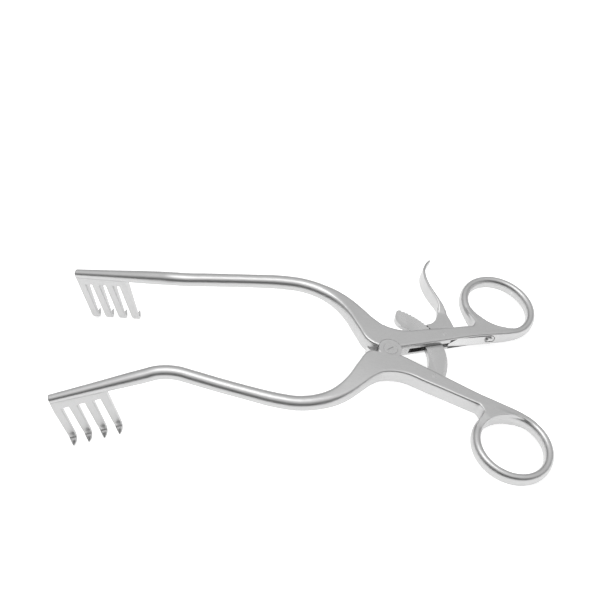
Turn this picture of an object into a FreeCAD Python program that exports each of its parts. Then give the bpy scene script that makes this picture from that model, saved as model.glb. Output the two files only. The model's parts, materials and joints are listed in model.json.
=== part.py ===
import FreeCAD, Part
import math
import os
from FreeCAD import Matrix, Vector

# Self-retaining surgical retractor, millimetres.
# It is drawn in the frame of its flat joint: the pivot is the origin, the hinge axis is Z,
# X runs back to the finger rings and Y to the far half. The last step stands it on a table,
# on its two rings and its lowest prongs. Shapes that both halves share are drawn for the far
# half, and side = NEAR mirrors them.
FAR = 1
NEAR = -1

# Lap joint and its screw
JOINT_HALF = 3.6            # half the thickness of the joint and of the shanks
LAP_R = 4.9                 # round lap of each half about the pivot
LAP_GAP = 0.12              # running clearance between the laps
SCREW_R = 1.9
SCREW_FIT = 0.05            # radial running clearance of the screw in the upper lap
HEAD_R = 2.9
HEAD_SEAT = 1.1             # depth of the head's seat in the upper lap
HEAD_PROUD = 0.3
DRIVER_W = 0.6              # screwdriver slots
DRIVER_D = 0.6
SHOULDER_R = 9.4            # reach of the square shoulder in front of the joint
SHOULDER_FAR = 168.3        # direction of the far half's shoulder, degrees
SHOULDER_NEAR = 2.85        # the near half's shoulder is cut back to this distance
SHOULDER_OPEN = 70.0        # sector cleared beside the far half's shoulder, degrees
CLOSE_TURN = 27.5           # turn of one half on the other that closes the blades, degrees

# Finger rings
RING_X = 51.0
RING_Y = 38.0
RING_R = 15.5               # centre line of the ring
RING_A = 1.95               # half width of the ring's oval section
RING_B = 2.88               # half height of the ring's oval section
RING_SIDES = 10             # flats that make up the oval
CORNER_FLATS = 3            # flats that make up a rounded edge of the shank
WEB_HALF = 2.6              # half the thickness of the web between ring and shank
RING_JOIN = -70.0           # where the shank runs into the ring, degrees round the ring

# Shank: centre line behind the joint
SHANK_START = Vector(8.9, 8.2, 0)
SHANK_END = Vector(36.0, 18.1, 0)
SHANK_W0 = 8.6
SHANK_W1 = 6.4
BAR_CORNER = 1.9            # rounding along the edges of joint, shank and bow

# Arm: elbow in front of the joint, bow, straight run, bend, and splayed rod
ELBOW = Vector(-5.0, 7.4, 0)
ELBOW_W = 13.0
BOW = Vector(-38.0, 32.2, -1.9)
BOW_D = 6.0
BEND = Vector(-90.0, 24.9, -4.1)
BEND_REACH = 9.0            # how far before and after its middle the bend starts and ends
BEND_D = 5.7
ROD_LENGTH = 47.5           # from the bend's middle to the end of the rod
ROD_SPLAY = 12.6            # the rod leans outward by this, degrees
ROD_DIP = 22.4              # and downward by this, degrees
ROD_END_D = 3.8

# Blade: a comb of hooked prongs under the end of each rod
PRONGS = 4
PRONG_W = 3.3
PRONG_PITCH = 6.42
BLADE_TURN = 8.0            # the comb is turned outward about the rod by this, degrees
BLADE_H = 27.6              # from the rod's centre line to the crown of the hooks
BAR_H = 5.0                 # depth of the bar above the gaps
BAR_T = 3.5
PRONG_T = 1.35              # thickness where the hook starts
BLADE_LEAN = 3.0            # the inner face leans inward by this, degrees
HOOK_R = 2.7                # outer radius of the hook
HOOK_REACH = 5.3            # from the inner face to the points
HOOK_RISE = 0.7             # height of the points above the crown
POINT_W = 0.5
POINT_START = 0.2           # the points start to narrow this far outside the prongs
GAP_ROUND = 0.6

# Ratchet rack, an arc about the pivot
RACK_IN = 17.4
RACK_OUT = 25.5
RACK_T = 2.4
RACK_START = -36.0          # its tenon in the near shank, degrees
RACK_END = 81.0
RACK_NOSE_OUT = 1.8         # rounding of the free end, outer and inner corner
RACK_NOSE_IN = 4.5
TOOTH_FIRST = 26.0
TOOTH_LAST = 77.0
TOOTH_PITCH = 3.6           # degrees
TOOTH_DEPTH = 0.55
RIVET_R = 1.0
RIVET_AT = -30.6            # degrees

# Slot through the far shank, for the rack and the lever
SLOT_PLAY = 0.2
SLOT_FRONT = 7.6            # X of its ends on the shank's centre line
SLOT_BACK = 33.6

# Release lever, turning on a pin just outside the rack
LEVER_T = 2.4
LEVER_BOSS = 2.2
PIN_AT = 29.1               # degrees
PIN_R = 1.0
PIN_FIT = 0.05
NOSE_AT = 47.7              # degrees
NOSE_GAP = 0.12             # the stored pawl stands just clear of the tooth tips
NECK_RISE = 13.8            # from the pin out to the neck
NECK_W = 4.6
THUMB_LENGTH = 32.8         # from the neck to the tip
THUMB_W = 7.0               # height of the upright thumb blade
THUMB_T = 1.5
THUMB_SWAY = 3.0            # how far its S sways to the inner side

# Leaf spring and its screw
SPRING_T = 0.8
SPRING_H = 5.0
SPRING_PLAY = 0.1           # round the strip in its recess, and behind the lever's tail
SPRING_TAIL = 2.5           # length of the strip behind the screw
SPRING_TONGUE = 3.6         # length of its slanted end
SPRING_BACK = Vector(9.6, -0.2, 0)   # from the shank's end to the screw
SPRING_TIP = Vector(2.8, -1.6, 0)    # from the lever pin to the strip's end
SPRING_SCREW_R = 0.9
SPRING_HEAD_R = 1.8
SPRING_HEAD_H = 0.9
SPRING_SCREW_L = 3.4

OVER = 1.0                  # how far a cutting tool runs past what it cuts
SLIVER = 0.01               # overlap of two cuts that share a face
UP = Vector(0, 0, 1)


def polar(radius, degrees, z=0.0):
    angle = math.radians(degrees)
    return Vector(radius * math.cos(angle), radius * math.sin(angle), z)


def disc(radius, z0, z1, centre=Vector(0, 0, 0)):
    return Part.makeCylinder(radius, z1 - z0, Vector(centre.x, centre.y, z0))


def prism(points, z0, z1):
    """Straight-sided solid over a plan outline."""
    corners = [Vector(p.x, p.y, z0) for p in points]
    face = Part.Face(Part.makePolygon(corners + corners[:1]))
    return face.extrude(Vector(0, 0, z1 - z0))


def mirrored(shape, side):
    if side == FAR:
        return shape
    return shape.mirror(Vector(0, 0, 0), Vector(0, 1, 0))


def rounded_section(centre, direction, width, height, corner):
    """Closed wire across a direction: a rectangle with round corners, or nearly an oval."""
    across = direction.cross(UP).normalize()
    up = across.cross(direction).normalize()
    a = width / 2
    b = height / 2
    r = min(corner, 0.98 * a, 0.98 * b)
    k = r * (1 - math.sqrt(0.5))
    ends = [(r - a, b), (a - r, b), (a, b - r), (a, r - b)]
    ends += [(-x, -y) for x, y in ends]
    middles = [(a - k, b - k), (a - k, k - b), (k - a, k - b), (k - a, b - k)]
    spots = [centre + across * x + up * y for x, y in ends]
    turns = [centre + across * x + up * y for x, y in middles]
    edges = []
    for i in range(4):
        edges.append(Part.makeLine(spots[2 * i], spots[2 * i + 1]))
        edges.append(Part.Arc(spots[2 * i + 1], turns[i], spots[(2 * i + 2) % 8]).toShape())
    return Part.Wire(edges)


def faceted_section(centre, direction, width, height, corner):
    """The same rectangle with each round corner made of flats."""
    across = direction.cross(UP).normalize()
    up = across.cross(direction).normalize()
    points = []
    for quarter, (x, y) in enumerate(((1, 1), (-1, 1), (-1, -1), (1, -1))):
        for i in range(CORNER_FLATS + 1):
            turn = math.radians(90 * (quarter + i / CORNER_FLATS))
            side = x * (width / 2 - corner) + corner * math.cos(turn)
            rise = y * (height / 2 - corner) + corner * math.sin(turn)
            points.append(centre + across * side + up * rise)
    return Part.makePolygon(points + points[:1])


def round_section(centre, direction, diameter):
    """Closed wire of four quarter circles across a direction."""
    across = direction.cross(UP).normalize() * (diameter / 2)
    up = across.cross(direction).normalize() * (diameter / 2)
    spots = [up, across, up * -1, across * -1, up]
    edges = []
    for first, second in zip(spots[:-1], spots[1:]):
        between = (first + second) * math.sqrt(0.5)
        edges.append(Part.Arc(centre + first, centre + between, centre + second).toShape())
    return Part.Wire(edges)


def rod_axes():
    """Along the far rod toward the joint, outward from its blade, and down the prongs."""
    dip = math.radians(ROD_DIP)
    splay = math.radians(ROD_SPLAY)
    along = Vector(math.cos(dip) * math.cos(splay), -math.cos(dip) * math.sin(splay), math.sin(dip))
    plumb = (along * along.z - UP).normalize()
    level = along.cross(plumb).normalize()
    turn = math.radians(BLADE_TURN)
    down = plumb * math.cos(turn) + level * math.sin(turn)
    outward = level * math.cos(turn) - plumb * math.sin(turn)
    return along, outward, down


def rod_end():
    along, _, _ = rod_axes()
    return BEND - along * ROD_LENGTH


def ring_centre():
    return Vector(RING_X, RING_Y, 0)


def mix(first, second, share):
    return first * (1 - share) + second * share


def shank_station(share):
    return mix(SHANK_START, SHANK_END, share), mix(SHANK_W0, SHANK_W1, share), 2 * JOINT_HALF, BAR_CORNER


def arm_station(along, bulge, drop, width, height, corner):
    """Section of the arm, all sizes as shares of the change from the elbow to the bow."""
    run = Vector(BOW.x - ELBOW.x, BOW.y - ELBOW.y, 0)
    point = ELBOW + run * along + run.cross(UP) * bulge
    point.z = mix(ELBOW.z, BOW.z, drop)
    thick = 2 * JOINT_HALF
    return point, mix(ELBOW_W, BOW_D, width), mix(thick, BOW_D, height), mix(BAR_CORNER, BOW_D / 2, corner)


def bar_stations():
    """Flat part of the arm, shank to bow: point, width, height, corner radius."""
    throat = mix(SHANK_START, ELBOW, 0.5) - Vector(0, 0.08 * ELBOW_W, 0)
    return [
        shank_station(0.0),
        (throat, 0.83 * ELBOW_W, 2 * JOINT_HALF, BAR_CORNER),
        arm_station(0.0, 0.0, 0.0, 0.0, 0.0, 0.0),
        arm_station(0.146, 0.021, 0.05, 0.39, 0.0, 0.0),
        arm_station(0.348, 0.081, 0.21, 0.72, 0.25, 0.18),
        arm_station(0.486, 0.110, 0.37, 0.81, 0.50, 0.45),
        arm_station(0.620, 0.119, 0.53, 0.89, 0.67, 0.64),
        arm_station(0.810, 0.085, 0.74, 0.96, 0.83, 1.0),
        arm_station(1.0, 0.0, 1.0, 1.0, 1.0, 1.0),
    ]


def round_stations():
    """Round part of the centre line, bow to the rod's end: point and diameter."""
    along, _, _ = rod_axes()
    run = BEND - BOW
    lift = Vector(0, 0.15 * BOW_D, 0)
    return [
        (BOW, BOW_D),
        (BOW + run * 0.14 + lift, BOW_D),
        (BOW + run * 0.40 + lift, BEND_D),
        (BEND + Vector(BEND_REACH, 0.16 * BEND_REACH, 0.05 * BEND_REACH), BEND_D),
        (BEND + Vector(0.42 * BEND_REACH, 0.05 * BEND_REACH, 0.01 * BEND_REACH), BEND_D),
        (BEND - along * (0.4 * BEND_REACH), BEND_D),
        (BEND - along * BEND_REACH, BEND_D),
        (rod_end(), ROD_END_D),
    ]


def directions(points):
    """Direction of a smooth curve through the points, at each of them."""
    path = Part.BSplineCurve()
    path.interpolate(Points=points)
    return [path.tangent(path.parameter(point))[0] for point in points]


def band(first, second):
    """Face between like edges of two sections: a plane where it can be, otherwise ruled."""
    a, b = first.Vertexes[0].Point, first.Vertexes[-1].Point
    c, d = second.Vertexes[-1].Point, second.Vertexes[0].Point
    flat = abs((b - a).cross(d - a).normalize().dot(c - a)) < 1e-7
    if flat and "Line" in str(first.Curve):
        return Part.Face(Part.makePolygon([a, b, c, d, a]))
    return Part.makeRuledSurface(first, second)


def ruled_bar(sections):
    """Solid bar over a row of rounded sections."""
    faces = [Part.Face(sections[0]), Part.Face(sections[-1])]
    for first, second in zip(sections[:-1], sections[1:]):
        faces += [band(a, b) for a, b in zip(first.Edges, second.Edges)]
    solid = Part.Solid(Part.Shell(faces))
    return solid if solid.Volume > 0 else solid.reversed()


def bar():
    """The solid bar of a half, from the shank through the joint and the bow to the rod's end."""
    flat = bar_stations()
    rounds = round_stations()
    points = [s[0] for s in flat[:-1]] + [s[0] for s in rounds[:-1]]
    along, _, _ = rod_axes()
    shank = (SHANK_START - SHANK_END).normalize()
    headings = [shank] + directions(points)[1:-1] + [along * -1, along * -1]
    sections = [rounded_section(s[0], d, s[1], s[2], s[3]) for s, d in zip(flat, headings)]
    circles = [round_section(s[0], d, s[1]) for s, d in zip(rounds, headings[len(flat) - 1:])]
    straight = (shank_station(1.0), shank_station(0.0))
    handle = [faceted_section(s[0], shank, s[1], s[2], s[3]) for s in straight]
    return ruled_bar(handle).fuse([ruled_bar(sections), ruled_bar(circles), ring_tail()])


def ring_tail():
    """Straight end of the shank, which narrows and runs on into the side of the ring."""
    join = ring_centre() + polar(RING_R, RING_JOIN)
    tail = join - SHANK_END
    wide = faceted_section(SHANK_END, tail, 0.94 * SHANK_W1, 2.1 * RING_B, BAR_CORNER)
    narrow = faceted_section(join, tail, 2 * RING_A, 2 * RING_B, 0.98 * RING_A)
    return ruled_bar([wide, narrow])


def rod_cone():
    """The rod alone, as the tool that seats a blade on it."""
    along, _, _ = rod_axes()
    length = ROD_LENGTH - BEND_REACH
    return Part.makeCone(BEND_D / 2, ROD_END_D / 2, length, BEND - along * BEND_REACH, along * -1)


def finger_ring():
    """Ring whose oval section is made of narrow flats."""
    rim = ring_centre() + Vector(RING_R, 0, 0)
    corners = []
    for i in range(RING_SIDES + 1):
        angle = 2 * math.pi * (i + 0.5) / RING_SIDES
        corners.append(rim + Vector(RING_A * math.cos(angle), 0, RING_B * math.sin(angle)))
    return Part.Face(Part.makePolygon(corners)).revolve(ring_centre(), UP, 360)


def ring_web():
    """Flat web that fills the corner between ring and shank, with its rounded front edge."""
    left = ring_centre() + Vector(-RING_R, -RING_A, 0)
    notch = SHANK_END + Vector(0.3 * RING_A, RING_A, 0)
    corners = [left, notch, SHANK_END, ring_centre() + polar(RING_R, RING_JOIN)]
    web = prism(corners, -WEB_HALF, WEB_HALF)
    edge = Part.Face(faceted_section(notch, left - notch, 2 * RING_A, 2 * RING_B, RING_A))
    return web.fuse(edge.extrude(left - notch))


def half_blank():
    """Far half before the joint is cut: bar, web and ring."""
    opening = disc(RING_R - 0.3 * RING_A, -JOINT_HALF - OVER, JOINT_HALF + OVER, ring_centre())
    return bar().fuse(ring_web()).cut(opening).fuse(finger_ring())


def lap_fill(turn=0.0, grow=0.0):
    """Wedge that joins the far half's lower lap to its shoulder, or its path when turned."""
    reach = SHOULDER_R + grow
    lap = LAP_R + grow
    tangent = SHOULDER_FAR + math.degrees(math.acos(lap / reach))
    corners = [Vector(0, 0, 0), polar(reach, SHOULDER_FAR + turn), polar(lap, tangent + turn)]
    return prism(corners, -JOINT_HALF, -LAP_GAP / 2)


def shank_slot():
    """Tool for the slot through the far shank."""
    direction = (SHANK_END - SHANK_START).normalize()
    across = UP.cross(direction)
    half = RACK_T / 2 + SLOT_PLAY
    corners = []
    far = 1.5 * SHANK_W0
    for x, reach in ((SLOT_FRONT, -far), (SLOT_BACK, -far), (SLOT_BACK, far), (SLOT_FRONT, far)):
        on_line = SHANK_START + direction * ((x - SHANK_START.x) / direction.x)
        corners.append(on_line + across * reach)
    return prism(corners, -half, half)


def lever_pin_centre():
    return polar(RACK_OUT + LEVER_BOSS + SLOT_PLAY, PIN_AT)


def spring_frame():
    """Screw centre, direction to the tip, direction into the shank, and length to the tip."""
    screw = SHANK_END + SPRING_BACK
    tip = lever_pin_centre() + SPRING_TIP
    along = (tip - screw).normalize()
    return screw, along, along.cross(UP), (tip - screw).Length


def spring_solid(play=0.0):
    """Flat strip with a round end behind its screw and a slanted tongue at its tip."""
    screw, along, inward, length = spring_frame()
    h = SPRING_H / 2 + play
    front = length + play
    low = play - 0.12 * SPRING_H
    outline = [(0, h), (length - SPRING_TONGUE, h), (front, low), (front, -h), (0, -h)]
    corners = [screw + along * s + UP * z for s, z in outline]
    strip = Part.Face(Part.makePolygon(corners + corners[:1])).extrude(inward * (SPRING_T + play))
    heel = Part.makeCylinder(SPRING_TAIL + play, SPRING_T + play, screw, inward)
    return strip.fuse(heel)


def spring_recess():
    """Tool for the recess: the strip's outline with play, open to the shank's inner side."""
    screw, along, inward, length = spring_frame()
    h = SPRING_H / 2 + 3 * SPRING_PLAY
    front = length + 3 * SPRING_PLAY
    outline = [(0, h), (front, h), (front, -h), (0, -h)]
    out = SHANK_W0 / 2
    base = screw - inward * out
    corners = [base + along * s + UP * z for s, z in outline]
    depth = out + SPRING_T
    strip = Part.Face(Part.makePolygon(corners + corners[:1])).extrude(inward * depth)
    return strip.fuse(Part.makeCylinder(h, depth, base, inward))


def make_far_half():
    limit = 3 * SHOULDER_R
    shoulder_cut = prism([Vector(0, 0, 0), polar(limit, SHOULDER_FAR),
                          polar(limit, SHOULDER_FAR + SHOULDER_OPEN)],
                         -JOINT_HALF - OVER, JOINT_HALF + OVER)
    body = half_blank().cut(shoulder_cut)
    body = body.fuse([disc(LAP_R, -JOINT_HALF, -LAP_GAP / 2), lap_fill()])
    screw, _, inward, _ = spring_frame()
    tools = [
        disc(LAP_R + LAP_GAP, -LAP_GAP / 2, JOINT_HALF + OVER),
        disc(SCREW_R, -JOINT_HALF - OVER, OVER),
        shank_slot(),
        disc(PIN_R, -JOINT_HALF - OVER, JOINT_HALF + OVER, lever_pin_centre()),
        spring_recess(),
        Part.makeCylinder(SPRING_SCREW_R, SPRING_SCREW_L, screw, inward),
    ]
    return body.cut(tools)


def make_near_half():
    body = mirrored(half_blank(), NEAR)
    limit = 3 * SHOULDER_R
    shoulder_cut = prism([Vector(-limit, -SHOULDER_NEAR, 0), Vector(0, -SHOULDER_NEAR, 0),
                          Vector(0, limit, 0), Vector(-limit, limit, 0)],
                         -JOINT_HALF - OVER, JOINT_HALF + OVER)
    body = body.cut(shoulder_cut)
    body = body.fuse(disc(LAP_R, LAP_GAP / 2, JOINT_HALF))
    tools = [
        disc(LAP_R + LAP_GAP, -JOINT_HALF - OVER, LAP_GAP / 2),
        disc(SCREW_R + SCREW_FIT, -OVER, JOINT_HALF + OVER),
        disc(HEAD_R + LAP_GAP, JOINT_HALF - HEAD_SEAT, JOINT_HALF + OVER),
        make_rack(False),
        disc(RIVET_R, -JOINT_HALF - OVER, JOINT_HALF + OVER, rivet_centre()),
    ]
    for share in (0.4, 0.7, 1.0):
        swept = lap_fill(share * (CLOSE_TURN + 1.0), 2 * LAP_GAP)
        swept.translate(Vector(0, 0, LAP_GAP))
        tools.append(swept)
        below = lap_fill(share * (CLOSE_TURN + 1.0), 2 * LAP_GAP)
        below.translate(Vector(0, 0, -LAP_GAP))
        tools.append(below)
    return body.cut(tools)


def hook_corner():
    """Inner face of a prong where its hook starts: distance outward, and down the prong."""
    down = BLADE_H - HOOK_R
    return -BAR_T / 2 - down * math.tan(math.radians(BLADE_LEAN)), down


def blade_frame():
    """Placement of the blade's own axes: X along the row, Y outward, Z up the prongs."""
    along, outward, down = rod_axes()
    end = rod_end()
    return Matrix(along.x, outward.x, -down.x, end.x,
                  along.y, outward.y, -down.y, end.y,
                  along.z, outward.z, -down.z, end.z,
                  0, 0, 0, 1)


def prong_profile():
    """Side view of the comb, bar at the top, hook curling outward at the bottom."""
    inner, down = hook_corner()
    outer = inner + PRONG_T
    centre = Vector(0, inner + HOOK_R, -down)
    tip = Vector(0, inner + HOOK_REACH, HOOK_RISE - BLADE_H)
    small = HOOK_R - PRONG_T
    low = Vector(0, centre.y, -BLADE_H)
    low_in = Vector(0, centre.y, -BLADE_H + PRONG_T)
    slope = math.sqrt(0.5)
    mid_out = centre + Vector(0, -slope, -slope) * HOOK_R
    mid_in = centre + Vector(0, -slope, -slope) * small
    top_in = Vector(0, -BAR_T / 2, 0)
    top_out = Vector(0, BAR_T / 2, 0)
    bar_out = Vector(0, BAR_T / 2, -BAR_H)
    edges = [
        Part.makeLine(top_out, top_in),
        Part.makeLine(top_in, Vector(0, inner, -down)),
        Part.Arc(Vector(0, inner, -down), mid_out, low).toShape(),
        Part.makeLine(low, tip),
        Part.makeLine(tip, low_in),
        Part.Arc(low_in, mid_in, Vector(0, outer, -down)).toShape(),
        Part.makeLine(Vector(0, outer, -down), bar_out),
        Part.makeLine(bar_out, top_out),
    ]
    return Part.Face(Part.Wire(edges))


def make_blade(side):
    row = (PRONGS - 1) * PRONG_PITCH + PRONG_W
    comb = prong_profile().extrude(Vector(row, 0, 0))
    inner, down = hook_corner()
    gap = PRONG_PITCH - PRONG_W
    depth = BLADE_H + OVER
    tools = []
    for i in range(PRONGS - 1):
        start = i * PRONG_PITCH + PRONG_W
        slot = Part.makeBox(gap, 4 * HOOK_REACH, depth, Vector(start, -2 * HOOK_REACH, -BAR_H - depth))
        top = [e for e in slot.Edges if abs(e.BoundBox.ZMin + BAR_H) < 0.01 and e.BoundBox.YLength > gap]
        tools.append(slot.makeFillet(GAP_ROUND, top))
    shoulder = inner + PRONG_T + POINT_START
    beyond = inner + HOOK_REACH + OVER
    for i in range(PRONGS):
        middle = i * PRONG_PITCH + PRONG_W / 2
        for hand in (-1, 1):
            wide = middle + hand * (PRONG_W / 2 + SLIVER)
            thin = middle + hand * POINT_W / 2
            wedge = [Vector(wide, shoulder, 0), Vector(wide, beyond, 0), Vector(thin, beyond, 0),
                     Vector(thin, inner + HOOK_REACH, 0)]
            tools.append(prism(wedge, -BLADE_H - OVER, -down + HOOK_R))
    comb = comb.cut(tools)
    comb.transformShape(blade_frame())
    return mirrored(comb.cut(rod_cone()), side)


def driver_slot(radius, z, turn):
    slot = Part.makeBox(2 * radius + OVER, DRIVER_W, DRIVER_D + OVER,
                        Vector(-radius - OVER / 2, -DRIVER_W / 2, z - DRIVER_D))
    slot.rotate(Vector(0, 0, 0), UP, turn)
    return slot


def make_pivot_screw():
    seat = JOINT_HALF - HEAD_SEAT + LAP_GAP / 2
    top = JOINT_HALF + HEAD_PROUD
    head = disc(HEAD_R, seat, top)
    rim = [e for e in head.Edges if abs(e.BoundBox.ZMin - top) < 0.01 and e.BoundBox.ZLength < 0.01]
    head = head.makeChamfer(HEAD_PROUD, rim)
    screw = head.fuse(disc(SCREW_R, -JOINT_HALF, seat))
    return screw.cut(driver_slot(HEAD_R, top, 42))


def rivet_centre():
    return polar((RACK_IN + RACK_OUT) / 2, RIVET_AT)


def make_rack(cut_teeth=True):
    """Arc-shaped bar with fine ratchet teeth along its outer edge."""
    ring = disc(RACK_OUT, -RACK_T / 2, RACK_T / 2).cut(disc(RACK_IN, -RACK_T, RACK_T))
    reach = 2 * RACK_OUT
    middle = (RACK_START + RACK_END) / 2
    sector = prism([Vector(0, 0, 0), polar(reach, RACK_START), polar(2 * reach, middle),
                    polar(reach, RACK_END)],
                   -RACK_T, RACK_T)
    rack = ring.common(sector)
    for radius, corner in ((RACK_OUT, RACK_NOSE_OUT), (RACK_IN, RACK_NOSE_IN)):
        spot = polar(radius, RACK_END)
        edge = [e for e in rack.Edges if e.BoundBox.ZLength > 0.9 * RACK_T
                and (Vector(e.BoundBox.Center.x, e.BoundBox.Center.y, 0) - spot).Length < 0.01]
        rack = rack.makeFillet(corner, edge)
    if not cut_teeth:
        return rack
    notches = []
    for i in range(int((TOOTH_LAST - TOOTH_FIRST) / TOOTH_PITCH)):
        at = TOOTH_FIRST + i * TOOTH_PITCH
        notch = [polar(RACK_OUT, at), polar(RACK_OUT - TOOTH_DEPTH, at + 0.84 * TOOTH_PITCH),
                 polar(RACK_OUT + 0.5 * TOOTH_DEPTH, at + 0.96 * TOOTH_PITCH),
                 polar(RACK_OUT + 1.1 * TOOTH_DEPTH, at + 0.4 * TOOTH_PITCH)]
        notches.append(prism(notch, -RACK_T, RACK_T))
    hole = disc(RIVET_R, -RACK_T, RACK_T, rivet_centre())
    return rack.cut(notches + [hole])


def make_rack_rivet():
    return disc(RIVET_R, -JOINT_HALF, JOINT_HALF, rivet_centre())


def make_lever():
    """Flat plate with the pawl nose, drawn out into an upright thumb blade."""
    pin = lever_pin_centre()
    half = LEVER_T / 2
    neck = pin + Vector(0.03, 1, 0) * NECK_RISE
    nose = polar(RACK_OUT + NOSE_GAP, NOSE_AT)
    neck_left = neck - Vector(NECK_W / 2, 0, 0)
    neck_right = neck + Vector(NECK_W / 2, 0, 0)
    throat = mix(nose, neck_left, 0.5) + Vector(0.07, -0.07, 0) * NECK_RISE
    start = nose + Vector(0.02, 0.05, 0) * NECK_RISE
    inside = polar(RACK_OUT - 0.6 * LEVER_T, NOSE_AT + 0.5)
    back = [Vector(0.33, 0.65, 0), Vector(0.48, 0.26, 0), Vector(0.435, 0.04, 0)]
    spots = [neck_right] + [pin + offset * NECK_RISE for offset in back]
    spots += [pin + Vector(0.36, -0.95, 0) * LEVER_BOSS, pin - Vector(0.86, 0.41, 0) * LEVER_BOSS]
    spots += [inside, start]
    edges = [Part.Arc(start, throat, neck_left).toShape(), Part.makeLine(neck_left, neck_right)]
    for a, b in zip(spots[:-1], spots[1:]):
        edges.append(Part.makeLine(a, b))
    face = Part.Face(Part.Wire(edges))
    plate = face.extrude(Vector(0, 0, LEVER_T))
    plate.translate(Vector(0, 0, -half))
    plate = plate.fuse(disc(LEVER_BOSS, -half, half, pin))
    plate = plate.cut([disc(RACK_OUT + NOSE_GAP, -LEVER_T, LEVER_T), spring_solid(SPRING_PLAY)])
    return plate.fuse(thumb_blade(neck)).cut(disc(PIN_R + PIN_FIT, -LEVER_T, LEVER_T, pin))


def thumb_blade(neck):
    """Upright strip on an S-shaped path, its tip curling back toward the ring."""
    shape = [
        (-0.03, 0.0, NECK_W, LEVER_T),
        (0.02, 0.0, 0.9 * NECK_W, 1.1 * LEVER_T),
        (0.10, -0.07, 2.1 * THUMB_T, 0.60 * THUMB_W),
        (0.18, 0.07, 1.4 * THUMB_T, 0.78 * THUMB_W),
        (0.28, 0.33, 1.1 * THUMB_T, 0.92 * THUMB_W),
        (0.42, 0.70, THUMB_T, THUMB_W),
        (0.58, 1.00, THUMB_T, THUMB_W),
        (0.70, 0.97, THUMB_T, 0.97 * THUMB_W),
        (0.84, 0.53, THUMB_T, 0.86 * THUMB_W),
        (0.94, -0.13, THUMB_T, 0.64 * THUMB_W),
        (1.00, -0.57, 0.8 * THUMB_T, 0.34 * THUMB_W),
    ]
    stations = [(Vector(-sway * THUMB_SWAY, rise * THUMB_LENGTH, 0), w, h) for rise, sway, w, h in shape]
    path = Part.BSplineCurve()
    path.interpolate(Points=[neck + s[0] for s in stations])
    sections = []
    for offset, width, height in stations:
        point = neck + offset
        direction = path.tangent(path.parameter(point))[0]
        across = direction.cross(UP).normalize() * (width / 2)
        rise = UP * (height / 2)
        corners = [point - across - rise, point + across - rise, point + across + rise, point - across + rise]
        sections.append(Part.makePolygon(corners + corners[:1]))
    return Part.makeLoft(sections, True, True)


def make_lever_pin():
    return disc(PIN_R, -JOINT_HALF, JOINT_HALF, lever_pin_centre())


def make_leaf_spring():
    screw, _, inward, _ = spring_frame()
    hole = Part.makeCylinder(SPRING_SCREW_R, SPRING_T + 2 * OVER, screw - inward * OVER, inward)
    return spring_solid().cut(hole)


def make_spring_screw():
    screw, along, inward, _ = spring_frame()
    head = Part.makeCylinder(SPRING_HEAD_R, SPRING_HEAD_H, screw - inward * SPRING_HEAD_H, inward)
    shank = Part.makeCylinder(SPRING_SCREW_R, SPRING_SCREW_L, screw, inward)
    slot = driver_slot(SPRING_HEAD_R, 0, 0)
    top = screw - inward * SPRING_HEAD_H
    slot.transformShape(Matrix(along.x, 0, -inward.x, top.x,
                               along.y, 0, -inward.y, top.y,
                               0, 1, 0, top.z,
                               0, 0, 0, 1))
    return head.fuse(shank).cut(slot)


def height_of_ring(tilt):
    """Lowest point of a ring when the far end of the instrument is raised by the tilt."""
    section = math.hypot(RING_A * math.sin(tilt), RING_B * math.cos(tilt))
    return -(RING_X + RING_R) * math.sin(tilt) - section


def height_of_prongs(tilt):
    """Lowest point of the hooks' crowns at that tilt."""
    upward = Vector(-math.sin(tilt), 0, math.cos(tilt))
    along, outward, down = rod_axes()
    inner, depth = hook_corner()
    axis = rod_end() + outward * (inner + HOOK_R) + down * depth
    return upward.dot(axis) - HOOK_R * (upward - along * upward.dot(along)).Length


def standing_tilt():
    """Tilt at which rings and prongs touch the table together."""
    low = 0.0
    high = math.radians(45)
    for _ in range(60):
        tilt = (low + high) / 2
        if height_of_prongs(tilt) < height_of_ring(tilt):
            low = tilt
        else:
            high = tilt
    return tilt


def main():
    nodes = {
        "far_half": make_far_half(),
        "near_half": make_near_half(),
        "far_blade": make_blade(FAR),
        "near_blade": make_blade(NEAR),
        "pivot_screw": make_pivot_screw(),
        "ratchet_rack": make_rack(),
        "rack_rivet": make_rack_rivet(),
        "release_lever": make_lever(),
        "lever_pin": make_lever_pin(),
        "leaf_spring": make_leaf_spring(),
        "spring_screw": make_spring_screw(),
    }
    tilt = standing_tilt()
    stand = Matrix()
    stand.rotateY(tilt)
    for name in nodes:
        nodes[name].transformShape(stand)
    box = Part.makeCompound(list(nodes.values())).optimalBoundingBox(False, False)
    shift = Vector(-box.Center.x, -box.Center.y, -height_of_ring(tilt))
    os.makedirs("parts", exist_ok=True)
    for name, shape in nodes.items():
        shape.translate(shift)
        shape.exportStep("parts/%s.step" % name)
    pivot = stand.multVec(Vector(0, 0, 0)) + shift
    pin = stand.multVec(lever_pin_centre()) + shift
    print("tilt %.3f degrees, pivot %s, lever pin %s" % (math.degrees(tilt), pivot, pin))


main()
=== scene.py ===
import json
import math

import bmesh
import bpy
import numpy as np
from mathutils import Matrix, Vector


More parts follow.
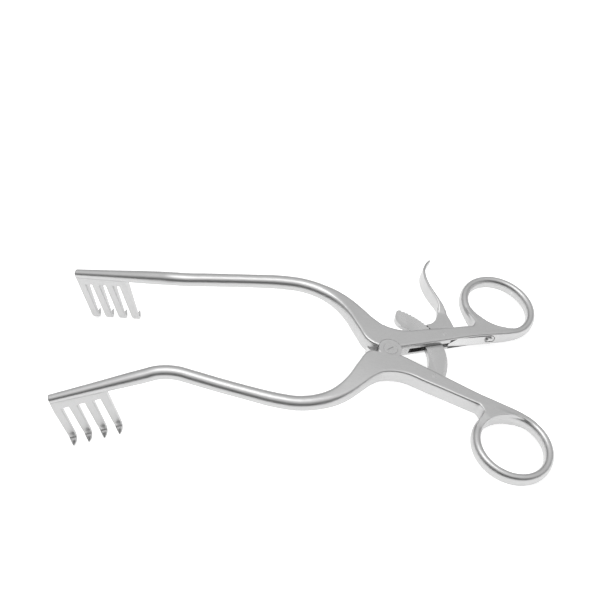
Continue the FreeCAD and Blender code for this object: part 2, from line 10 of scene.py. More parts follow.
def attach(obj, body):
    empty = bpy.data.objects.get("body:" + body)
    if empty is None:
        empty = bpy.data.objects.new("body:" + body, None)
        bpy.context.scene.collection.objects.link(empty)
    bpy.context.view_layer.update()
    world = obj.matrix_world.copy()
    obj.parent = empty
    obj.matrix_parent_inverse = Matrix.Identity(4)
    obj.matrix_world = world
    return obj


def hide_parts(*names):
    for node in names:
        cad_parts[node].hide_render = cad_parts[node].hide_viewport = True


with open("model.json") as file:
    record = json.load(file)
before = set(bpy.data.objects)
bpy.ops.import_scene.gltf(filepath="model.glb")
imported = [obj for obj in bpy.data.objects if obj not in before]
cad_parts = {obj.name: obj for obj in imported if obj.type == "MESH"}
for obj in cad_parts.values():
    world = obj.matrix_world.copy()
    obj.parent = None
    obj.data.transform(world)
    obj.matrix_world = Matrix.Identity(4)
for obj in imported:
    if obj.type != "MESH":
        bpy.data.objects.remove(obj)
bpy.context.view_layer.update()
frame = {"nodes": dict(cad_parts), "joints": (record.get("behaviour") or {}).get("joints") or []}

# Camera. The picture is taken straight from the front, 48 degrees down and half a metre off,
# with a long lens, so the two arms keep nearly their true proportions.
eye = Vector((0.0085, -0.3240, 0.3963))
aim = Vector((0.0031, 0.0102, 0.0303))
roll = math.radians(0.39)
back = (eye - aim).normalized()
level = Vector((0, 0, 1)).cross(back).normalized()
right = Matrix.Rotation(roll, 3, back) @ level
camera = bpy.data.objects.new("camera", bpy.data.cameras.new("camera"))
camera.data.sensor_width = 36
camera.data.lens = 71.4
camera.data.shift_x = -0.0243
camera.data.shift_y = 0.017
camera.data.clip_start = 0.01
camera.matrix_world = Matrix.Translation(eye) @ Matrix((right, back.cross(right), back)).transposed().to_4x4()
bpy.context.scene.collection.objects.link(camera)
bpy.context.scene.camera = camera
bpy.context.scene.view_settings.view_transform = "Standard"


# Light and floor. A white table top under a wide softbox. The room darkens toward its horizon,
# most of all in front, which gives round steel its dark line under each highlight.
class Shade:
    """A value in a node tree. Arithmetic on it adds Math nodes to the tree."""

    def __init__(self, tree, socket=None):
        self.tree = tree
        self.socket = socket

    def node(self, kind, settings=None, inputs=None, output=0):
        made = self.tree.nodes.new(kind)
        for name, value in (settings or {}).items():
            if name == "stops":
                for i, (at, colour) in enumerate(value):
                    stop = made.color_ramp.elements[i] if i < 2 else made.color_ramp.elements.new(at)
                    stop.position = at
                    stop.color = colour
            else:
                setattr(made, name, value)
        for name, value in (inputs or {}).items():
            if isinstance(value, Shade):
                self.tree.links.new(value.socket, made.inputs[name])
            else:
                made.inputs[name].default_value = value
        return Shade(self.tree, made.outputs[output])

    def maths(self, operation, *values):
        return self.node("ShaderNodeMath", {"operation": operation}, dict(enumerate(values)))

    def __add__(self, other):
        return self.maths("ADD", self, other)

    def __radd__(self, other):
        return self.maths("ADD", other, self)

    def __sub__(self, other):
        return self.maths("SUBTRACT", self, other)

    def __rsub__(self, other):
        return self.maths("SUBTRACT", other, self)

    def __mul__(self, other):
        return self.maths("MULTIPLY", self, other)

    def __rmul__(self, other):
        return self.maths("MULTIPLY", other, self)

    def clamped(self):
        return self.node("ShaderNodeClamp", {}, {"Value": self})


def grey(value):
    return (value, value, value, 1.0)


room = bpy.data.worlds.new("room")
bpy.context.scene.world = room
room.use_nodes = True
room.node_tree.nodes.clear()
sky = Shade(room.node_tree)
direction = sky.node("ShaderNodeTexCoord", output="Generated")
height = sky.node("ShaderNodeSeparateXYZ", {}, {"Vector": direction}, "Z")
depth = sky.node("ShaderNodeSeparateXYZ", {}, {"Vector": direction}, "Y")
stops = [(0.0, grey(0.38)), (0.25, grey(0.46)), (0.65, grey(0.86)), (1.0, grey(1.0))]
fall = sky.node("ShaderNodeValToRGB", {"stops": stops}, {"Fac": height})
dark_front = (depth * -1.5).clamped() * ((0.80 - height) * 4.0).clamped()
walls = sky.node("ShaderNodeBackground", {}, {"Color": fall * (1 - 0.80 * dark_front), "Strength": 1.0})
world_end = room.node_tree.nodes.new("ShaderNodeOutputWorld")
room.node_tree.links.new(walls.socket, world_end.inputs["Surface"])

lamp = bpy.data.lights.new("softbox", "AREA")
lamp.shape = "RECTANGLE"
lamp.size = 0.50
lamp.size_y = 0.34
lamp.energy = 0.85
softbox = bpy.data.objects.new("softbox", lamp)
softbox.matrix_world = Matrix.Translation((0.0, 0.02, 0.62))
bpy.context.scene.collection.objects.link(softbox)

floor_mesh = bpy.data.meshes.new("floor")
spread_out = 60.0
floor_corners = [(x * spread_out, y * spread_out, 0) for x, y in ((-1, -1), (1, -1), (1, 1), (-1, 1))]
floor_mesh.from_pydata(floor_corners, [], [(0, 1, 2, 3)])
floor = bpy.data.objects.new("floor", floor_mesh)
bpy.context.scene.collection.objects.link(floor)
paper = bpy.data.materials.new("white_paper")
paper.use_nodes = True
paper.node_tree.nodes.clear()
sheet = Shade(paper.node_tree)
matt = sheet.node("ShaderNodeBsdfDiffuse", {}, {"Color": grey(0.86)})
glow = sheet.node("ShaderNodeEmission", {}, {"Color": grey(1.0), "Strength": 0.60})
lit = sheet.node("ShaderNodeAddShader", {}, {0: matt, 1: glow})
seen = sheet.node("ShaderNodeLightPath", output="Is Camera Ray")
mirrored_ray = sheet.node("ShaderNodeLightPath", output="Is Glossy Ray")
through = sheet.node("ShaderNodeLightPath", output="Is Transmission Ray")
white_for = (seen + mirrored_ray + through).clamped()
surface = sheet.node("ShaderNodeMixShader", {}, {0: white_for, 1: matt, 2: lit})
paper_end = paper.node_tree.nodes.new("ShaderNodeOutputMaterial")
paper.node_tree.links.new(surface.socket, paper_end.inputs["Surface"])
floor.data.materials.append(paper)


# The two halves. Each is one stainless forging, from finger ring to the end of its round rod,
# ground to a soft even satin. The far half has its lap underneath at the screw, and a slot
# through its shank for the rack and the lever; the near half lies on top.
spread = next(j for j in frame["joints"] if j["name"] == "spread")
release = next(j for j in frame["joints"] if j["name"] == "release")
tilt = math.atan2(spread["axis"][0], spread["axis"][2])
pivot = Vector(spread["pos_m"])
# Everything below is drawn in millimetres about the screw, with the joint flat.
stand = Matrix.Translation(pivot) @ Matrix.Rotation(tilt, 4, "Y") @ Matrix.Scale(0.001, 4)
lever_pin = stand.inverted() @ Vector(release["pos_m"])


def steel(name, tone, rough, grain_mm, streak):
    """Satin stainless steel: blasted grain, faint streaks along the piece, brighter worn edges."""
    made = bpy.data.materials.new(name)
    made.use_nodes = True
    tree = made.node_tree
    tree.nodes.clear()
    m = Shade(tree)
    place = m.node("ShaderNodeTexCoord", output="Object")
    fine = m.node("ShaderNodeTexNoise", {}, {"Vector": place, "Scale": 1000 / grain_mm, "Detail": 3.0})
    along = m.node("ShaderNodeMapping", {}, {"Vector": place, "Scale": streak})
    streaks = m.node("ShaderNodeTexNoise", {}, {"Vector": along, "Scale": 1000.0, "Detail": 4.0})
    cloud = m.node("ShaderNodeTexNoise", {}, {"Vector": place, "Scale": 140.0, "Detail": 2.0})
    edge = m.node("ShaderNodeNewGeometry", output="Pointiness")
    worn = ((edge - 0.53) * 9.0).clamped()
    light = (0.40 * streaks + 0.45 * fine + 0.15 * cloud + 0.4 * worn).clamped()
    colour = m.node("ShaderNodeMix", {"data_type": "RGBA"},
                    {0: light, 6: grey(tone - 0.09), 7: grey(tone + 0.09)}, 2)
    relief = 0.6 * fine + 0.4 * streaks
    bump = m.node("ShaderNodeBump", {}, {"Strength": 0.30, "Distance": 0.00006, "Height": relief})
    dull = rough + 0.16 * (fine - 0.5) + 0.10 * (streaks - 0.5) - 0.06 * worn
    body = tree.nodes.new("ShaderNodeBsdfPrincipled")
    body.inputs["Metallic"].default_value = 1.0
    tree.links.new(colour.socket, body.inputs["Base Color"])
    tree.links.new(dull.socket, body.inputs["Roughness"])
    tree.links.new(bump.socket, body.inputs["Normal"])
    end = tree.nodes.new("ShaderNodeOutputMaterial")
    tree.links.new(body.outputs[0], end.inputs["Surface"])
    return made


satin = steel("satin_steel", 0.55, 0.34, 0.45, (0.25, 2.2, 2.2))


def smooth_rows(stations, count):
    """Rows of numbers on one smooth curve through the stations, evenly spaced along it."""
    rows = np.array(stations, float)
    gaps = np.linalg.norm(np.diff(rows[:, :3], axis=0), axis=1)
    along = np.concatenate([[0.0], np.cumsum(gaps)])
    slope = np.gradient(rows, along, axis=0)
    at = np.linspace(0.0, along[-1], count)
    i = np.clip(np.searchsorted(along, at, "right") - 1, 0, len(gaps) - 1)
    t = ((at - along[i]) / gaps[i])[:, None]
    gap = gaps[i][:, None]
    first = (2 * t**3 - 3 * t**2 + 1) * rows[i] + (t**3 - 2 * t**2 + t) * gap * slope[i]
    return first + (3 * t**2 - 2 * t**3) * rows[i + 1] + (t**3 - t**2) * gap * slope[i + 1]


def bar_mesh(rows, corner_points=7, up=Vector((0, 0, 1)), crown=1.0):
    """Points and faces of a bar: rows give x, y, z, width, height and corner radius.
    A crown above 1 lets the corners reach further down the sides, as on a ground forging."""
    points = []
    faces = []
    path = [Vector(r[:3]) for r in rows]
    ring = 4 * corner_points
    for k, row in enumerate(rows):
        heading = (path[min(k + 1, len(path) - 1)] - path[max(k - 1, 0)]).normalized()
        across = heading.cross(up).normalized()
        top = across.cross(heading)
        a = row[3] / 2
        b = row[4] / 2
        r = min(row[5], 0.98 * a)
        drop = min(row[5] * crown, 0.98 * b)
        for quarter in range(4):
            cx = (a - r) * (1, -1, -1, 1)[quarter]
            cy = (b - drop) * (1, 1, -1, -1)[quarter]
            for s in range(corner_points):
                turn = math.pi / 2 * (quarter + s / (corner_points - 1))
                x = cx + r * math.cos(turn)
                y = cy + drop * math.sin(turn)
                points.append(path[k] + across * x + top * y)
    for k in range(len(rows) - 1):
        for s in range(ring):
            n = (s + 1) % ring
            faces.append((k * ring + s, k * ring + n, (k + 1) * ring + n, (k + 1) * ring + s))
    faces.append(tuple(range(ring))[::-1])
    faces.append(tuple(range((len(rows) - 1) * ring, len(rows) * ring)))
    return points, faces


def mesh_object(name, parts):
    """One object from several lots of points and faces, with its faces pointing outwards."""
    made = bmesh.new()
    for points, faces in parts:
        corners = [made.verts.new(p) for p in points]
        for face in faces:
            made.faces.new([corners[i] for i in face])
    bmesh.ops.recalc_face_normals(made, faces=made.faces)
    mesh = bpy.data.meshes.new(name)
    made.to_mesh(mesh)
    made.free()
    thing = bpy.data.objects.new(name, mesh)
    bpy.context.scene.collection.objects.link(thing)
    return thing


def prism(outline, z0, z1):
    """Points and faces of a straight block over a plan outline."""
    n = len(outline)
    points = [Vector((x, y, z)) for z in (z0, z1) for x, y in outline]
    faces = [tuple(range(n))[::-1], tuple(range(n, 2 * n))]
    faces += [(i, (i + 1) % n, n + (i + 1) % n, n + i) for i in range(n)]
    return points, faces


def round_block(radius, z0, z1, centre=(0.0, 0.0), sides=96):
    turns = [2 * math.pi * i / sides for i in range(sides)]
    rim = [(centre[0] + radius * math.cos(a), centre[1] + radius * math.sin(a)) for a in turns]
    return prism(rim, z0, z1)


def polar(radius, degrees):
    return (radius * math.cos(math.radians(degrees)), radius * math.sin(math.radians(degrees)))


def polar_from(centre, radius, degrees):
    x, y = polar(radius, degrees)
    return (centre[0] + x, centre[1] + y)


def settled(thing, name):
    """Bakes the modifiers of an object into a mesh of its own and removes the object."""
    graph = bpy.context.evaluated_depsgraph_get()
    graph.update()
    mesh = bpy.data.meshes.new_from_object(thing.evaluated_get(graph))
    bpy.data.objects.remove(thing)
    made = bpy.data.objects.new(name, mesh)
    bpy.context.scene.collection.objects.link(made)
    return made


def combined(thing, operation, parts):
    """Cuts blocks from an object, or adds them to it."""
    tool = mesh_object("tool", parts)
    change = thing.modifiers.new("change", "BOOLEAN")
    change.operation = operation
    change.solver = "MANIFOLD"
    change.object = tool
    made = settled(thing, thing.name)
    bpy.data.objects.remove(tool)
    return made


def finished(thing, node, body, material):
    """Puts a piece in the frame, in the place of its CAD node."""
    thing.data.transform(stand)
    thing.data.materials.clear()
    thing.data.materials.append(material)
    thing.name = node + "_dressed"
    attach(thing, body)
    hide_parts(node)
    return thing


def rounded(thing, crease=35):
    """Shades a piece smooth, except across edges sharper than the crease."""
    thing.data.shade_smooth()
    thing.data.set_sharp_from_angle(angle=math.radians(crease))
    return thing


def melted(thing, voxel, passes):
    """Melts overlapping shapes into one skin and eases its edges, like a forging."""
    melt = thing.modifiers.new("melt", "REMESH")
    melt.mode = "VOXEL"
    melt.voxel_size = voxel
    ease = thing.modifiers.new("ease", "SMOOTH")
    ease.factor = 0.5
    ease.iterations = passes
    return settled(thing, thing.name)


half_joint = 3.6
lap = 4.9
lap_gap = 0.12
ring_at = Vector((51.0, 38.0, 0.0))
ring_middle = 15.5
ring_half_width = 1.95
ring_half_height = 2.88
shank_start = Vector((8.9, 8.2, 0.0))
shank_end = Vector((36.0, 18.1, 0.0))
rod_dip = math.radians(22.4)
rod_splay = math.radians(12.6)
rod_along = Vector((math.cos(rod_dip) * math.cos(rod_splay), -math.cos(rod_dip) * math.sin(rod_splay),
                    math.sin(rod_dip)))
bend = Vector((-90.0, 24.9, -4.1))
rod_end = bend - rod_along * 47.5
rod_start = bend - rod_along * 9.0
# Stations of the far bar, from ring to rod: x, y, z, width, height and corner radius.
arm = [
    (*(ring_at + Vector((*polar(15.65, -36), 0))), 3.5, 5.2, 1.5),
    (*(ring_at + Vector((*polar(15.50, -48), 0))), 3.9, 5.6, 1.4),
    (*(ring_at + Vector((*polar(15.25, -60), 0))), 4.4, 5.9, 1.2),
    (*(ring_at + Vector((*polar(14.90, -72), 0))), 5.1, 6.3, 1.0),
    (45.84, 21.06, 0, 5.9, 6.9, 0.8), (*shank_end, 6.4, 7.2, 0.8), (29.2, 15.6, 0, 6.95, 7.2, 0.8),
    (22.4, 13.1, 0, 7.5, 7.2, 0.8), (15.7, 10.7, 0, 8.05, 7.2, 0.8), (8.9, 8.2, 0, 8.6, 7.2, 0.8),
    (2.0, 6.8, 0, 10.8, 7.2, 0.8), (-5.0, 7.4, 0, 13.0, 7.2, 0.8), (-9.3, 11.7, -0.1, 10.3, 7.2, 0.9),
    (-14.5, 18.7, -0.4, 8.0, 6.9, 1.2), (-18.3, 23.1, -0.7, 7.3, 6.6, 1.6),
    (-22.5, 26.7, -1.0, 6.8, 6.4, 2.2), (-29.6, 30.3, -1.4, 6.3, 6.2, 3.1),
    (-38.0, 32.2, -1.9, 6.0, 6.0, 3.0), (-44.7, 32.1, -2.2, 6.0, 6.0, 3.0),
    (-58.8, 30.2, -2.8, 5.7, 5.7, 2.85), (-70.0, 28.3, -3.3, 5.7, 5.7, 2.85),
    (-80.0, 26.45, -3.65, 5.7, 5.7, 2.85), (-85.6, 25.45, -3.95, 5.7, 5.7, 2.85),
    (*(bend - rod_along * 3.6), 5.7, 5.7, 2.85), (*rod_start, 5.7, 5.7, 2.85),
    (*(rod_start * 0.5 + rod_end * 0.5), 4.75, 4.75, 2.4), (*rod_end, 3.8, 3.8, 1.9),
]
shoulder = 9.4
shoulder_far = 168.3
shoulder_near = 2.85
close_turn = 28.5
clear = 9
voxel = 0.28
hole_cut = 15.8
hole_shift = 2.06
slot_from, slot_to, slot_reach, slot_half = 7.6, 33.6, 12, 1.4
seat_radius = 3.02
seat_floor = 2.5


def ring_mesh(around=160, section=40):
    """Finger ring whose section is a flattened oval."""
    points = []
    for i in range(around):
        c, s = polar(1.0, 360 * i / around)
        for j in range(section):
            out, up = [math.copysign(abs(v) ** 0.88, v) for v in polar(1.0, 360 * j / section)]
            r = ring_middle + ring_half_width * out
            points.append(ring_at + Vector((r * c, r * s, ring_half_height * up)))
    faces = []
    for i in range(around):
        for j in range(section):
            a, b = (i + 1) % around, (j + 1) % section
            faces.append((i * section + j, i * section + b, a * section + b, a * section + j))
    return points, faces


def lap_wedge(turn=0.0, grow=0.0, lift=0.0):
    """The corner that fills a half from its lap disc to its shoulder, or the room for it."""
    tangent = shoulder_far + math.degrees(math.acos((lap + grow) / (shoulder + grow)))
    outline = [(0.0, 0.0), polar(shoulder + grow, shoulder_far + turn), polar(lap + grow, tangent + turn)]
    return prism(outline, -half_joint - lift, -lap_gap / 2 + lift)


# The flat between shank and ring: angle about the ring, outer radius and half thickness.
web = [
    (184, 15.5, 2.1), (192, 16.0, 2.5), (202, 16.7, 2.8), (213, 17.0, 3.1), (222, 17.3, 3.35),
    (227, 17.7, 3.5), (229, 18.3, 3.5), (230.3, 19.5, 3.5), (230.7, 21.0, 3.5), (231.5, 23.0, 3.5),
    (233, 24.9, 3.5), (245, 19.2, 3.5), (260, 15.6, 3.5), (275, 14.4, 3.45), (288, 14.3, 3.2),
    (300, 14.7, 2.85), (312, 15.1, 2.45), (322, 15.3, 2.0),
]
web_inside = 12.0


def web_mesh():
    """Points and faces of the flat, from inside the ring's hole out to the shank."""
    points = []
    for angle, outer, half in web:
        inside = polar_from(ring_at, web_inside, angle)
        outside = polar_from(ring_at, outer, angle)
        points += [Vector((*inside, -half)), Vector((*inside, half))]
        points += [Vector((*outside, half)), Vector((*outside, -half))]
    faces = [(0, 1, 2, 3), tuple(4 * (len(web) - 1) + k for k in (3, 2, 1, 0))]
    for k in range(0, 4 * (len(web) - 1), 4):
        faces += [(k + a, k + b, k + 4 + b, k + 4 + a) for a, b in ((0, 1), (1, 2), (2, 3), (3, 0))]
    return points, faces


def forging(name):
    """The far half before its joint is cut: arm, ring and the flat between them in one skin."""
    blank = mesh_object(name, [bar_mesh(smooth_rows(arm, 280), crown=3.0), web_mesh()])
    blank = melted(blank, voxel, 0)
    hole = round_block(hole_cut, -clear, clear, polar_from(ring_at, hole_shift, 67), 160)
    blank = combined(blank, "DIFFERENCE", [hole])
    ring = mesh_object("ring", [ring_mesh()])
    join = bmesh.new()
    join.from_mesh(blank.data)
    join.from_mesh(ring.data)
    join.to_mesh(blank.data)
    join.free()
    bpy.data.objects.remove(ring)
    return melted(blank, voxel, 6)


def mirrored(thing):
    """Turns a piece of the far half into its near twin."""
    thing.data.transform(Matrix.Scale(-1, 4, (0, 1, 0)))
    thing.data.flip_normals()
    return thing


far = forging("far")
near = mirrored(forging("near"))

wide = 3 * shoulder
behind = [(0, 0), polar(wide, shoulder_far), polar(wide, shoulder_far + 70)]
far = combined(far, "DIFFERENCE", [prism(behind, -clear, clear)])
far = combined(far, "UNION", [round_block(lap, -half_joint, -lap_gap / 2), lap_wedge()])
far = combined(far, "DIFFERENCE", [round_block(lap + lap_gap, -lap_gap / 2, clear)])
shank_along = (shank_end - shank_start).normalized()
shank_side = Vector((-shank_along.y, shank_along.x, 0.0))
slot = [shank_start + shank_along * ((x - shank_start.x) / shank_along.x) + shank_side * y
        for x, y in ((slot_from, -slot_reach), (slot_to, -slot_reach),
                     (slot_to, slot_reach), (slot_from, slot_reach))]
far = combined(far, "DIFFERENCE", [prism([(p.x, p.y) for p in slot], -slot_half, slot_half)])

beside = [(-wide, -shoulder_near), (0, -shoulder_near), (0, wide), (-wide, wide)]
near = combined(near, "DIFFERENCE", [prism(beside, -clear, clear)])
near = combined(near, "UNION", [round_block(lap, lap_gap / 2, half_joint)])
near = combined(near, "DIFFERENCE", [round_block(lap + lap_gap, -clear, lap_gap / 2)])
for share in (0.0, 0.33, 0.66, 1.0):
    near = combined(near, "DIFFERENCE", [lap_wedge(share * close_turn, 2 * lap_gap, lap_gap)])
near = combined(near, "DIFFERENCE", [round_block(seat_radius, seat_floor, clear)])

# The spring lies in a recess in the inner side of the far shank.
spring_screw = shank_end + Vector((9.6, -0.2, 0.0))
spring_tip = Vector((lever_pin.x + 2.8, lever_pin.y - 1.6, 0.0))
spring_along = (spring_tip - spring_screw).normalized()
spring_in = spring_along.cross(Vector((0, 0, 1)))
spring_length = (spring_tip - spring_screw).length
recess = Matrix((spring_along, Vector((0, 0, 1)), spring_in)).transposed().to_4x4()
recess.translation = spring_screw


def in_recess(part):
    """Lays a block, drawn flat, in the plane of the spring."""
    return [recess @ p for p in part[0]], part[1]


recess_half = 2.8
recess_floor = 0.8
recess_length = spring_length + 0.3
trough = [(0, recess_half), (recess_length, recess_half), (recess_length, -recess_half), (0, -recess_half)]
far = combined(far, "DIFFERENCE", [in_recess(prism(trough, -4, recess_floor))])
far = combined(far, "DIFFERENCE", [in_recess(round_block(recess_half, -4, recess_floor))])
finished(rounded(far), "far_half", "far_half", satin)
finished(rounded(near), "near_half", "near_half", satin)


# Combs. Each is a steel bar with four tapered prongs, bent at the end to sharp hooks, and is
# brazed under the end of its rod. Geometry Nodes set the prongs in a row, and the whole is
# melted together and cut to the round of the rod.
comb_turn = math.radians(8.0)
plumb = (rod_along * rod_along.z - Vector((0, 0, 1))).normalized()
sideways = rod_along.cross(plumb).normalized()
comb_down = plumb * math.cos(comb_turn) + sideways * math.sin(comb_turn)
comb_out = sideways * math.cos(comb_turn) - plumb * math.sin(comb_turn)
comb_place = Matrix((rod_along, comb_out, -comb_down)).transposed().to_4x4()
comb_place.translation = rod_end
prong_pitch = 6.42
prong_width = 3.3
prongs = 4
bar_top, bar_bottom = -0.6, -5.0
bar_back, bar_front = -1.8, 1.75
bar_short = 0.05
rod_tip = 3.8
rod_taper = 0.0494
# Stations of one prong, from the bar to its point: x, y, z, thickness, width and corner radius.
prong = [
    (0, -0.01, -2.0, 3.5, 3.3, 0.3), (0, -0.13, -5.0, 3.7, 3.3, 0.3), (0, -0.92, -12.0, 2.9, 3.3, 0.3),
    (0, -1.60, -18.0, 2.2, 3.3, 0.3), (0, -2.05, -22.0, 1.7, 3.3, 0.3), (0, -2.38, -24.6, 1.38, 3.25, 0.3),
    (0, -2.20, -25.6, 1.33, 3.15, 0.3), (0, -1.78, -26.3, 1.28, 2.95, 0.3), (0, -1.04, -26.8, 1.2, 2.6, 0.3),
    (0, -0.30, -27.0, 1.1, 2.2, 0.3), (0, 0.50, -26.95, 0.95, 1.7, 0.25), (0, 1.45, -26.75, 0.7, 1.1, 0.2),
    (0, 2.45, -26.5, 0.35, 0.45, 0.1),
]


def node_tree(name, inputs):
    """Geometry node tree with named inputs and one geometry output."""
    tree = bpy.data.node_groups.new(name, "GeometryNodeTree")
    tree.interface.new_socket("Geometry", in_out="INPUT", socket_type="NodeSocketGeometry")
    for label, kind, value in inputs:
        socket = tree.interface.new_socket(label, in_out="INPUT", socket_type=kind)
        if value is not None:
            socket.default_value = value
    tree.interface.new_socket("Geometry", in_out="OUTPUT", socket_type="NodeSocketGeometry")
    return tree, tree.nodes.new("NodeGroupInput"), tree.nodes.new("NodeGroupOutput")


def repeated(thing, tree, values):
    """The plain mesh that a node tree makes of an object."""
    change = thing.modifiers.new("repeat", "NODES")
    change.node_group = tree
    for item in tree.interface.items_tree:
        if item.in_out == "INPUT" and item.name in values:
            change[item.identifier] = values[item.name]
    return settled(thing, thing.name)


row, given, made = node_tree("row", [
    ("Count", "NodeSocketInt", 4), ("Pitch", "NodeSocketFloat", 6.4), ("Bar", "NodeSocketObject", None),
    ("Material", "NodeSocketMaterial", None)])
line = row.nodes.new("GeometryNodeMeshLine")
step = row.nodes.new("ShaderNodeCombineXYZ")
copies = row.nodes.new("GeometryNodeInstanceOnPoints")
bar_info = row.nodes.new("GeometryNodeObjectInfo")
both = row.nodes.new("GeometryNodeJoinGeometry")
real = row.nodes.new("GeometryNodeRealizeInstances")
dress = row.nodes.new("GeometryNodeSetMaterial")
row.links.new(given.outputs["Count"], line.inputs["Count"])
row.links.new(given.outputs["Pitch"], step.inputs["X"])
row.links.new(step.outputs[0], line.inputs["Offset"])
row.links.new(line.outputs[0], copies.inputs["Points"])
row.links.new(given.outputs["Geometry"], copies.inputs["Instance"])
row.links.new(given.outputs["Bar"], bar_info.inputs["Object"])
row.links.new(copies.outputs[0], both.inputs[0])
row.links.new(bar_info.outputs["Geometry"], both.inputs[0])
row.links.new(both.outputs[0], real.inputs[0])
row.links.new(real.outputs[0], dress.inputs["Geometry"])
row.links.new(given.outputs["Material"], dress.inputs["Material"])
row.links.new(dress.outputs[0], made.inputs[0])

blade_steel = steel("blade_steel", 0.55, 0.40, 0.40, (1.6, 1.6, 0.3))


def comb(name):
    """One comb under the end of the far rod."""
    length = 3 * prong_pitch + prong_width
    left, right_end = bar_short, length - bar_short
    bar_corners = [(left, bar_back), (right_end, bar_back), (right_end, bar_front), (left, bar_front)]
    bar = mesh_object("bar", [prism(bar_corners, bar_bottom, bar_top)])
    one = mesh_object(name, [bar_mesh(smooth_rows(prong, 70), 5, Vector((1, 0, 0)))])
    one.data.transform(Matrix.Translation((prong_width / 2, 0, 0)))
    blade = repeated(one, row, {"Count": prongs, "Pitch": prong_pitch, "Bar": bar, "Material": blade_steel})
    bpy.data.objects.remove(bar)
    blade = melted(blade, 0.16, 3)
    widths = [(x, rod_tip + rod_taper * x) for x in (-3.0, 12.0, 27.0)]
    blade = combined(blade, "DIFFERENCE", [bar_mesh([(x, 0, 0, wide, wide, 3.0) for x, wide in widths], 16)])
    blade.data.transform(comb_place)
    return rounded(blade, 40)


finished(comb("far_comb"), "far_blade", "far_half", blade_steel)
finished(mirrored(comb("near_comb")), "near_blade", "near_half", blade_steel)


# Ratchet rack. A flat steel arc about the screw, tenoned into the near shank. Geometry Nodes turn
# one notch round the screw, which cuts the saw teeth of its outer edge.
rack_in = 17.4
rack_out = 25.5
rack_half = 1.2
rack_start = -36.0
teeth = 14
tooth_first = 26.0
tooth_pitch = 3.6
tooth_depth = 0.55


def arc_points(centre, radius, start, end, count):
    """Points on an arc, from one angle to another."""
    return [polar_from(centre, radius, start + (end - start) * i / (count - 1)) for i in range(count)]


def planed(thing, edge, crease=32):
    """Breaks the edges of a flat-sided piece and keeps its faces truly flat."""
    thing.data.shade_smooth()
    soften = thing.modifiers.new("soften", "BEVEL")
    soften.width = edge
    soften.segments = 2
    soften.limit_method = "ANGLE"
    soften.angle_limit = math.radians(crease)
    level = thing.modifiers.new("level", "WEIGHTED_NORMAL")
    level.weight = 100
    level.keep_sharp = False
    return settled(thing, thing.name)


rack_end = 81.0
nose_out = 1.8
nose_in = 4.5
turn_out = rack_end - math.degrees(math.asin(nose_out / (rack_out - nose_out)))
turn_in = rack_end - math.degrees(math.asin(nose_in / (rack_in + nose_in)))
outline = arc_points((0, 0), rack_out, rack_start, turn_out, 90)
outline += arc_points(polar(rack_out - nose_out, turn_out), nose_out, turn_out, rack_end + 90, 12)
outline += arc_points(polar(rack_in + nose_in, turn_in), nose_in, rack_end + 90, turn_in + 180, 16)
outline += arc_points((0, 0), rack_in, turn_in, rack_start, 80)

spin, given, made = node_tree("spin", [
    ("Count", "NodeSocketInt", 14), ("Pitch", "NodeSocketFloat", 0.06),
    ("Material", "NodeSocketMaterial", None)])
line = spin.nodes.new("GeometryNodeMeshLine")
place = spin.nodes.new("GeometryNodeInputIndex")
angle = spin.nodes.new("ShaderNodeMath")
angle.operation = "MULTIPLY"
about = spin.nodes.new("ShaderNodeCombineXYZ")
copies = spin.nodes.new("GeometryNodeInstanceOnPoints")
real = spin.nodes.new("GeometryNodeRealizeInstances")
dress = spin.nodes.new("GeometryNodeSetMaterial")
line.inputs["Offset"].default_value = (0, 0, 0)
spin.links.new(given.outputs["Count"], line.inputs["Count"])
spin.links.new(place.outputs[0], angle.inputs[0])
spin.links.new(given.outputs["Pitch"], angle.inputs[1])
spin.links.new(angle.outputs[0], about.inputs["Z"])
spin.links.new(about.outputs[0], copies.inputs["Rotation"])
spin.links.new(line.outputs[0], copies.inputs["Points"])
spin.links.new(given.outputs["Geometry"], copies.inputs["Instance"])
spin.links.new(copies.outputs[0], real.inputs[0])
spin.links.new(real.outputs[0], dress.inputs["Geometry"])
spin.links.new(given.outputs["Material"], dress.inputs["Material"])
spin.links.new(dress.outputs[0], made.inputs[0])

notch = [polar(rack_out + 0.01, tooth_first),
         polar(rack_out - tooth_depth, tooth_first + 0.84 * tooth_pitch),
         polar(rack_out + 0.5 * tooth_depth, tooth_first + 0.96 * tooth_pitch),
         polar(rack_out + 1.1 * tooth_depth, tooth_first + 0.4 * tooth_pitch)]
notches = repeated(mesh_object("notch", [prism(notch, -2.0, 2.0)]), spin,
                   {"Count": teeth, "Pitch": math.radians(tooth_pitch), "Material": satin})
rack = mesh_object("rack", [prism(outline, -rack_half, rack_half)])
cutter = rack.modifiers.new("teeth", "BOOLEAN")
cutter.operation = "DIFFERENCE"
cutter.solver = "MANIFOLD"
cutter.object = notches
rack = settled(rack, "rack")
bpy.data.objects.remove(notches)
finished(planed(rack, 0.10), "ratchet_rack", "near_half", satin)


# Release lever. A flat steel plate turns on the pin, its nose against the teeth. Beyond the neck it
# is drawn out into a thumb blade, upright and bent like an S.
plate_half = 1.2
boss_radius = 2.2
pin_hole = 1.05
nose_gap = 0.12
nose_turn = 47.7
pin = Vector((lever_pin.x, lever_pin.y, 0.0))
neck = pin + Vector((0.41, 13.8, 0.0))
nose = Vector((*polar(rack_out + nose_gap, nose_turn), 0.0))
neck_left = neck - Vector((2.3, 0, 0))
neck_right = neck + Vector((2.0, 0, 0))
throat = (nose + neck_left) / 2 + Vector((1.0, -1.0, 0))
start = nose + Vector((0.3, 0.7, 0))
plate = []
for i in range(12):
    t = i / 11
    plate.append(start * ((1 - t) * (1 - 2 * t)) + throat * (4 * t * (1 - t)) + neck_left * (t * (2 * t - 1)))
plate += [neck_left + Vector((0.1, 3.0, 0)), neck_right + Vector((-0.4, 3.0, 0)), neck_right]
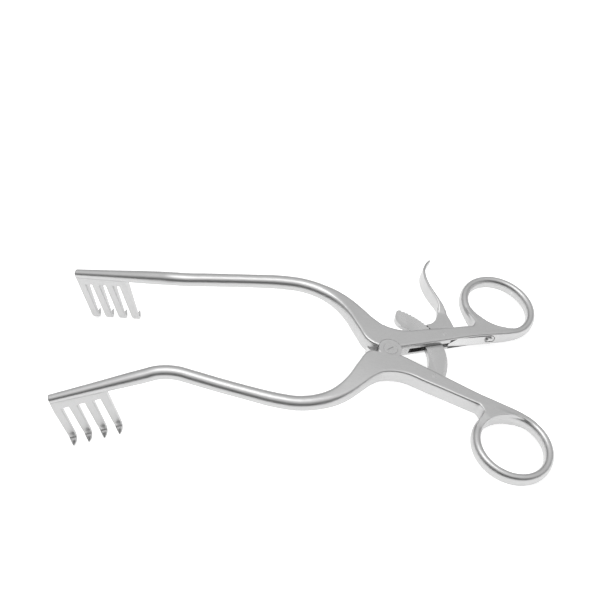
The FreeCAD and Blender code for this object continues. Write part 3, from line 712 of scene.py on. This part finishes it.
heel = ((4.5, 9.0, 0), (6.6, 3.6, 0), (6.0, 0.6, 0), (0.8, -2.1, 0), (-1.9, -0.9, 0))
plate += [pin + Vector(offset) for offset in heel]
plate.append(Vector((*polar(rack_out - 1.5, nose_turn + 0.5), 0)))
# Stations of the thumb blade from the neck out: x, y, z, thickness, height and corner radius.
thumb = [
    (-0.1, -2.0, 0, 3.6, 2.0, 0.4), (-0.2, 0.7, 0, 3.8, 2.7, 0.6), (-0.6, 3.2, 0, 2.8, 4.6, 0.6),
    (-1.8, 5.9, 0, 1.7, 5.9, 0.5), (-3.7, 9.2, 0, 1.35, 6.7, 0.45), (-6.1, 13.8, 0, 1.2, 7.0, 0.45),
    (-7.7, 19.0, 0, 1.2, 7.0, 0.45), (-7.9, 22.5, 0, 1.2, 6.7, 0.45), (-6.9, 26.3, 0, 1.2, 5.7, 0.45),
    (-5.7, 28.9, 0, 1.2, 4.6, 0.45), (-4.4, 31.3, 0, 1.1, 3.2, 0.5),
]
thumb = [(neck.x + x, neck.y + y, z, *size) for x, y, z, *size in thumb]
lever = mesh_object("lever", [
    prism([(p.x, p.y) for p in plate], -plate_half, plate_half),
    round_block(boss_radius, -plate_half, plate_half, pin), bar_mesh(smooth_rows(thumb, 90), 6)])
lever = melted(lever, 0.18, 3)
lever = combined(lever, "DIFFERENCE", [round_block(rack_out + nose_gap, -3, 3, sides=240)])
lever = combined(lever, "DIFFERENCE", [round_block(pin_hole, -3, 3, pin)])
tongue_tip = spring_length + 0.1
tongue = [(0, 2.6), (spring_length - 3.6, 2.6), (tongue_tip, -0.5), (tongue_tip, -2.6), (0, -2.6)]
lever = combined(lever, "DIFFERENCE", [in_recess(prism(tongue, 0.0, 0.9))])
finished(rounded(lever, 40), "release_lever", "release_lever", satin)


# Screws, pins and spring. Small turned and bent pieces of harder steel, their edges just broken.
# The pivot screw lies flush in the near lap; the lever pin and the rack rivet are peened over.
screw_steel = steel("screw_steel", 0.56, 0.30, 0.35, (1.0, 1.0, 1.0))
spring_steel = steel("spring_steel", 0.57, 0.26, 0.30, (0.3, 2.0, 2.0))
head_radius = 2.98
head_under, head_top = 2.56, 3.7
thread_radius = 1.88
driver_half = (1.6, 0.26)
driver_floor = 3.4
screw = mesh_object("screw", [round_block(head_radius, head_under, head_top)])
screw = combined(screw, "UNION", [round_block(thread_radius, -half_joint, 2.7)])
swing = Matrix.Rotation(math.radians(38), 2)
corners = ((-1, -1), (1, -1), (1, 1), (-1, 1))
driver = [swing @ Vector((x * driver_half[0], y * driver_half[1])) for x, y in corners]
screw = combined(screw, "DIFFERENCE", [prism([(p.x, p.y) for p in driver], driver_floor, 5.0)])
finished(planed(screw, 0.07), "pivot_screw", "far_half", screw_steel)


def copied(node):
    """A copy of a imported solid, with its facets merged, drawn about the screw like the rest."""
    thing = bpy.data.objects.new(node + "_copy", frame["nodes"][node].data.copy())
    bpy.context.scene.collection.objects.link(thing)
    merge = bmesh.new()
    merge.from_mesh(thing.data)
    bmesh.ops.remove_doubles(merge, verts=merge.verts, dist=1e-6)
    bmesh.ops.dissolve_limit(merge, angle_limit=math.radians(0.6), verts=merge.verts, edges=merge.edges)
    merge.to_mesh(thing.data)
    merge.free()
    thing.data.transform(stand.inverted())
    return thing


finished(planed(copied("spring_screw"), 0.06), "spring_screw", "far_half", screw_steel)
finished(planed(copied("leaf_spring"), 0.06), "leaf_spring", "far_half", spring_steel)
proud = 1.012
for node, body in (("lever_pin", "far_half"), ("rack_rivet", "near_half")):
    peened = copied(node)
    peened.data.transform(Matrix.Scale(proud, 4, (0, 0, 1)))
    finished(planed(peened, 0.10), node, body, screw_steel)
